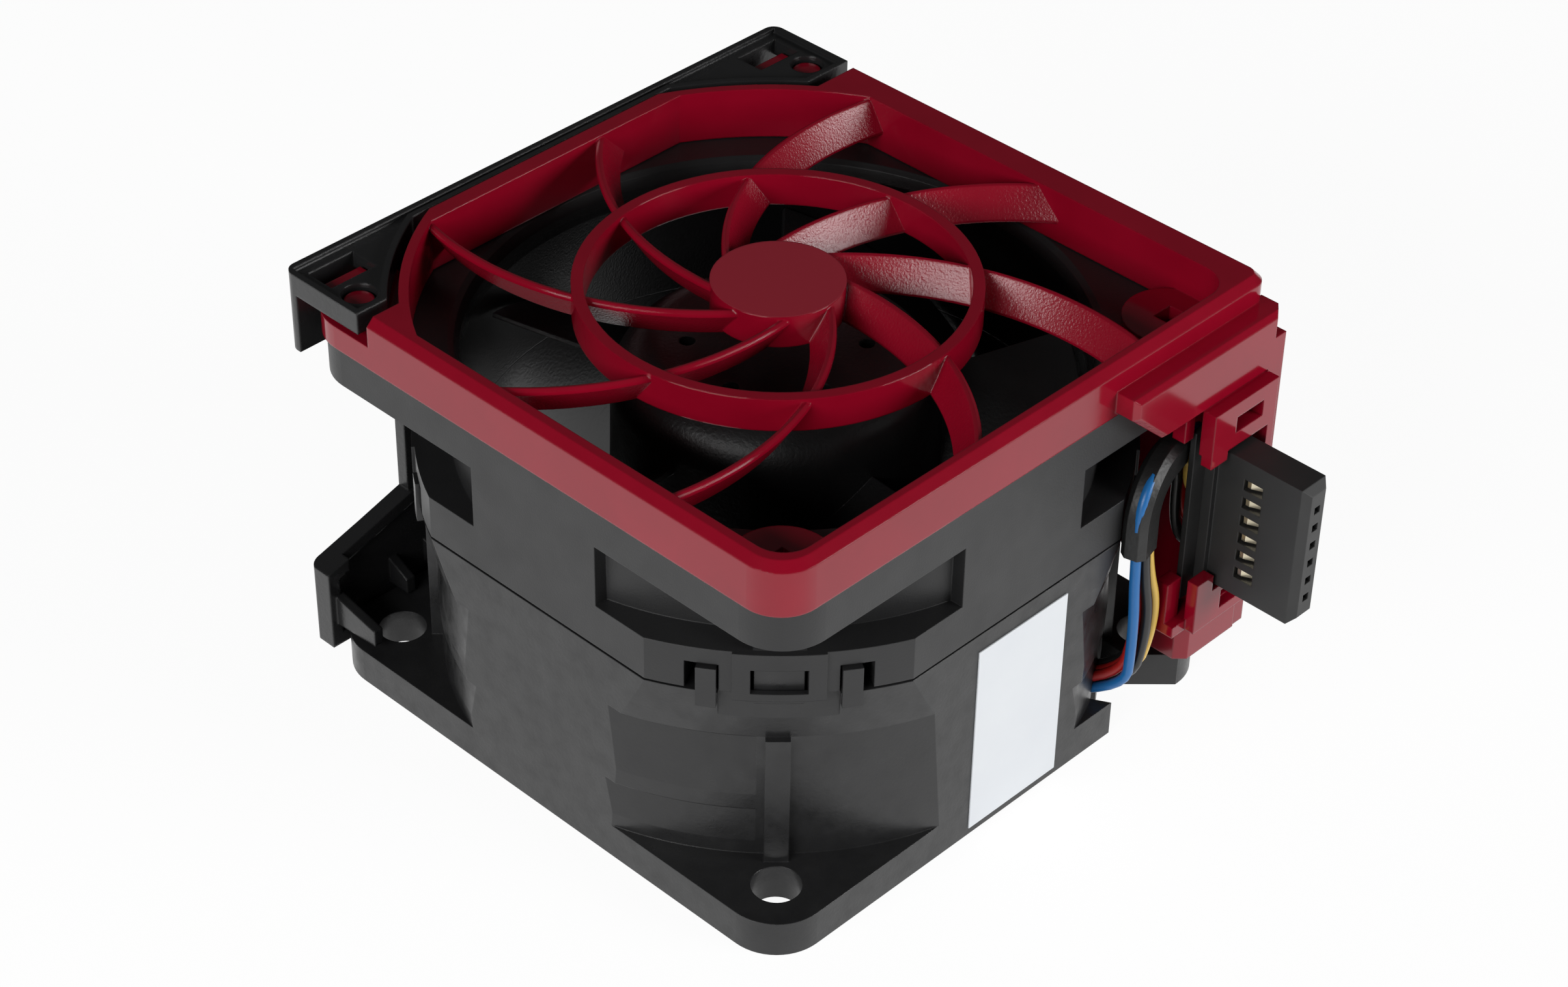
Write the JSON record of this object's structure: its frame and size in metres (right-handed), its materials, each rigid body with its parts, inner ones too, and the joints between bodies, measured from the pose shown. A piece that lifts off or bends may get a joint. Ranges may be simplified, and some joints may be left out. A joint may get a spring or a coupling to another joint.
{
  "type": "server fan module",
  "caption": "Square axial server fan with a snapped two-part housing, spiral finger guard, side plug on a guard-mounted holder and a clip-on side bracket.",
  "frame": {"origin": "on the fan's axis, in the plane of the exhaust flange's outer face", "axes": "+Z along the fan's axis towards the air inlet and guard, +X towards the plug, -X towards the side bracket"},
  "size_m": [0.0745, 0.0626, 0.0439],
  "materials": {
    "housing_black": "satin",
    "rotor_black": "satin",
    "bracket_black": "gloss",
    "plug_black": "satin",
    "guard_red": "gloss",
    "sleeve_black": "satin",
    "label_white": "matte",
    "contact_metal": "satin",
    "brass": "satin",
    "bearing_steel": "satin",
    "core_steel": "satin",
    "copper_wire": "satin",
    "board_green": "satin",
    "magnet_grey": "matte",
    "wire_black": "satin",
    "wire_red": "satin",
    "wire_yellow": "satin",
    "wire_blue": "satin"
  },
  "bodies": {
    "housing": {"rear_housing": "housing_black", "front_housing": "housing_black", "finger_guard": "guard_red", "side_bracket": "bracket_black", "connector_shell": "plug_black", "connector_retainer": "plug_black", "connector_contacts": "contact_metal", "cable_sleeve": "sleeve_black", "label": "label_white", "bearing_tube": "brass", "bearings": "bearing_steel", "stator_core": "core_steel", "windings": "copper_wire", "circuit_board": "board_green", "black_wire_lower": "wire_black", "black_wire_upper": "wire_black", "red_wire_lower": "wire_red", "red_wire_upper": "wire_red", "yellow_wire": "wire_yellow", "blue_wire": "wire_blue"},
    "rotor": {"impeller": "rotor_black", "rotor_yoke": "core_steel", "magnet_ring": "magnet_grey", "rotor_shaft": "bearing_steel", "shaft_clip": "bearing_steel", "preload_spring": "bearing_steel"}
  },
  "joints": [
    {"name": "rotor_spin", "type": "hinge", "parent": "housing", "child": "rotor", "pos_m": [0, 0, 0.02], "axis": [0, 0, 1], "continuous": true}
  ]
}
